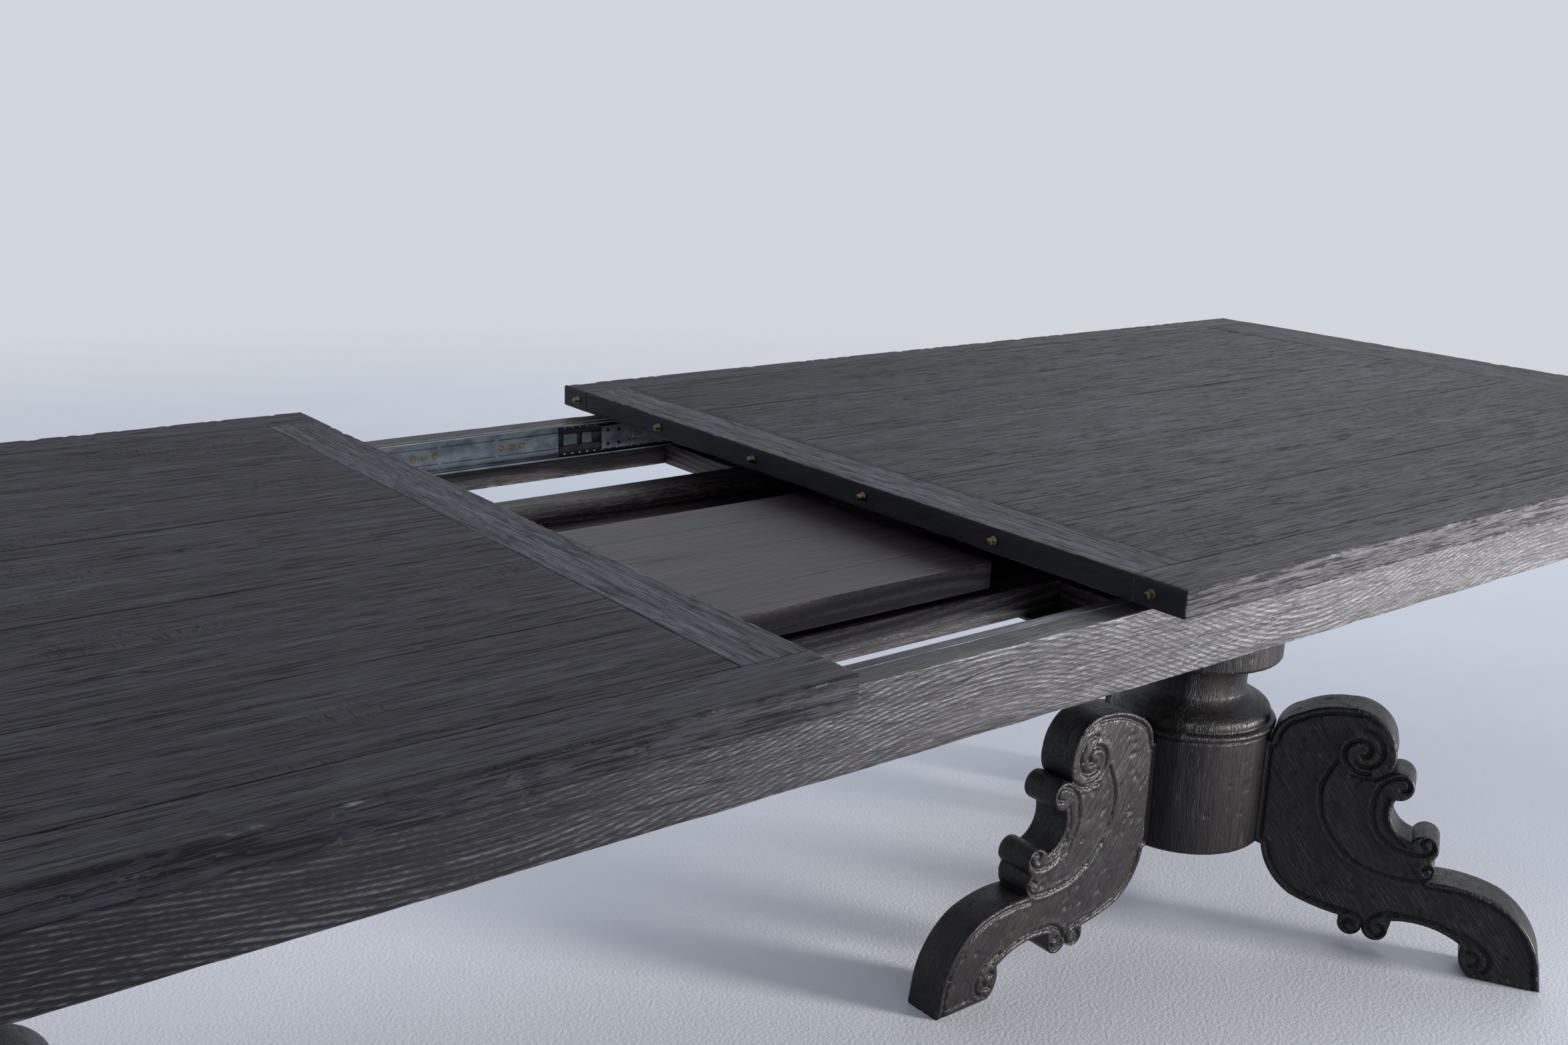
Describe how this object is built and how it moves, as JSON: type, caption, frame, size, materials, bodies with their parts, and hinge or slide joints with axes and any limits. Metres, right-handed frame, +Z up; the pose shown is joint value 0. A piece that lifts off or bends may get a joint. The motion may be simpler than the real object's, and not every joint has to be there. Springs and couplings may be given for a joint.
{
  "type": "extending dining table",
  "caption": "Extending dining table on turned pedestals with scroll legs: the halves of its top slide apart on ball-bearing slides, and a spare leaf lies in the tray.",
  "frame": {"origin": "on the floor, under the middle of the top", "axes": "+X along the table and the slides, +Y across it to the far side, +Z up"},
  "size_m": [3.197, 1.067, 0.771],
  "materials": {
    "top_wood": "charcoal stain, open wire-brushed grain, satin",
    "leaf_wood": "dark brown stain, satin",
    "apron_wood": "charcoal stain, silvery open grain, satin",
    "tray_wood": "dark brown stain, satin",
    "pedestal_wood": "brown-black distressed lacquer, satin",
    "slide_zinc": "blue zinc plate",
    "brass": "yellow plate",
    "bolt_steel": "zinc plate"
  },
  "bodies": {
    "base": {"near_apron": "apron_wood", "far_apron": "apron_wood", "left_end_rail": "apron_wood", "right_end_rail": "apron_wood", "near_bearer": "tray_wood", "far_bearer": "tray_wood", "near_middle_stub_rails": "tray_wood", "far_middle_stub_rails": "tray_wood", "near_pedestal_stub_rails": "tray_wood", "far_pedestal_stub_rails": "tray_wood", "tray_floor": "tray_wood", "joint_plates": "tray_wood", "tray_slats": "tray_wood", "leaf_near_board": "leaf_wood", "leaf_field": "leaf_wood", "leaf_far_board": "leaf_wood", "near_channel": "slide_zinc", "far_channel": "slide_zinc", "channel_screws": "brass", "left_cleat": "tray_wood", "left_cleat_bolts": "bolt_steel", "left_column": "pedestal_wood", "left_inner_leg": "pedestal_wood", "left_near_leg": "pedestal_wood", "left_far_leg": "pedestal_wood", "right_cleat": "tray_wood", "right_cleat_bolts": "bolt_steel", "right_column": "pedestal_wood", "right_inner_leg": "pedestal_wood", "right_near_leg": "pedestal_wood", "right_far_leg": "pedestal_wood"},
    "left_top": {"left_near_edge_board": "top_wood", "left_far_edge_board": "top_wood", "left_gap_board": "top_wood", "left_end_board": "top_wood", "left_field_planks": "top_wood", "left_battens": "tray_wood", "left_near_runner": "tray_wood", "left_far_runner": "tray_wood", "left_near_member": "slide_zinc", "left_far_member": "slide_zinc", "left_member_screws": "bolt_steel"},
    "right_top": {"right_near_edge_board": "top_wood", "right_far_edge_board": "top_wood", "right_gap_board": "top_wood", "right_end_board": "top_wood", "right_field_planks": "top_wood", "right_battens": "tray_wood", "right_near_runner": "tray_wood", "right_far_runner": "tray_wood", "right_near_member": "slide_zinc", "right_far_member": "slide_zinc", "right_member_screws": "bolt_steel", "alignment_pins": "brass"},
    "left_cages": {"left_near_cage": "slide_zinc", "left_far_cage": "slide_zinc"},
    "right_cages": {"right_near_cage": "slide_zinc", "right_far_cage": "slide_zinc"}
  },
  "joints": [
    {"name": "left_slide", "type": "slide", "parent": "base", "child": "left_top", "axis": [-1, 0, 0], "range_m": [-0.1842, 0.0255]},
    {"name": "left_cage_slide", "type": "slide", "parent": "base", "child": "left_cages", "axis": [-1, 0, 0], "range_m": [-0.0925, 0.013]},
    {"name": "right_slide", "type": "slide", "parent": "base", "child": "right_top", "axis": [1, 0, 0], "range_m": [-0.1842, 0.0255]},
    {"name": "right_cage_slide", "type": "slide", "parent": "base", "child": "right_cages", "axis": [1, 0, 0], "range_m": [-0.0925, 0.013]}
  ],
  "couplings": [
    {"joint": "left_cage_slide", "follows": "left_slide", "ratio": 0.5},
    {"joint": "right_cage_slide", "follows": "right_slide", "ratio": 0.5}
  ]
}
